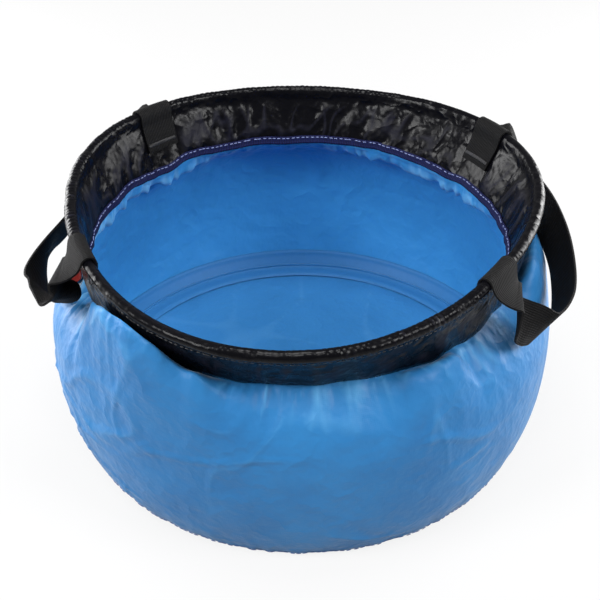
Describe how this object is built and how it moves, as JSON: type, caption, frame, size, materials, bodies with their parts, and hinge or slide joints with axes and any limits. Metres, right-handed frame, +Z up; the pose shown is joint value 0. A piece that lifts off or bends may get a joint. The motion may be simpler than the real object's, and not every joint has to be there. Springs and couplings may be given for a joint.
{
  "type": "collapsible camp wash basin",
  "caption": "Soft round wash basin of coated nylon with a glossy collar folded over a flexible hoop and webbing carry handles.",
  "frame": {"origin": "centre of the round base, on the surface it stands on", "axes": "+Z up out of the basin's mouth, +X towards the right handle, -Y the front"},
  "size_m": [0.3143, 0.3081, 0.1584],
  "materials": {
    "blue_nylon": "coated nylon with a soft sheen",
    "blue_base_nylon": "coated nylon with a soft sheen",
    "seam_tape": "smooth heat-sealed tape",
    "blue_thread": "matte thread",
    "black_coated_cloth": "glossy coating",
    "navy_binding": "matte woven binding",
    "pale_thread": "matte thread",
    "black_thread": "matte thread",
    "hoop_plastic": "smooth moulded",
    "spigot_steel": "drawn rod",
    "black_webbing": "matte woven webbing",
    "red_label": "plain woven tape"
  },
  "bodies": {
    "base": {"base_panel": "blue_base_nylon", "side_wall": "blue_nylon", "base_seam_tape": "seam_tape", "wall_seam_tape": "seam_tape", "base_stitching": "blue_thread"},
    "rim": {"collar": "black_coated_cloth", "collar_hem_tape": "navy_binding", "hem_stitching": "pale_thread", "casing_stitching": "black_thread", "rim_hoop": "hoop_plastic", "hoop_spigot": "spigot_steel", "strap_anchor_front_right": "black_webbing", "strap_anchor_back_right": "black_webbing", "strap_anchor_front_left": "black_webbing", "strap_anchor_back_left": "black_webbing", "anchor_bartack_front_right": "black_thread", "anchor_bartack_back_right": "black_thread", "anchor_bartack_front_left": "black_thread", "anchor_bartack_back_left": "black_thread", "side_label": "red_label"},
    "handle_right": {"handle_right": "black_webbing"},
    "handle_left": {"handle_left": "black_webbing"}
  },
  "joints": [
    {"name": "rim_collapse", "type": "slide", "parent": "base", "child": "rim", "axis": [0, 0, 1], "range_m": [-0.085, 0], "deforming": ["side_wall", "wall_seam_tape"]},
    {"name": "handle_right_swing", "type": "hinge", "parent": "rim", "child": "handle_right", "pos_m": [0.11511, -0.09322, 0.14542], "axis": [-0.1203, -0.9927, -0.0028], "range_deg": [-5, 105]},
    {"name": "handle_left_swing", "type": "hinge", "parent": "rim", "child": "handle_left", "pos_m": [-0.13294, -0.07068, 0.14612], "axis": [0.1232, 0.9924, -0.0064], "range_deg": [-5, 105]}
  ]
}
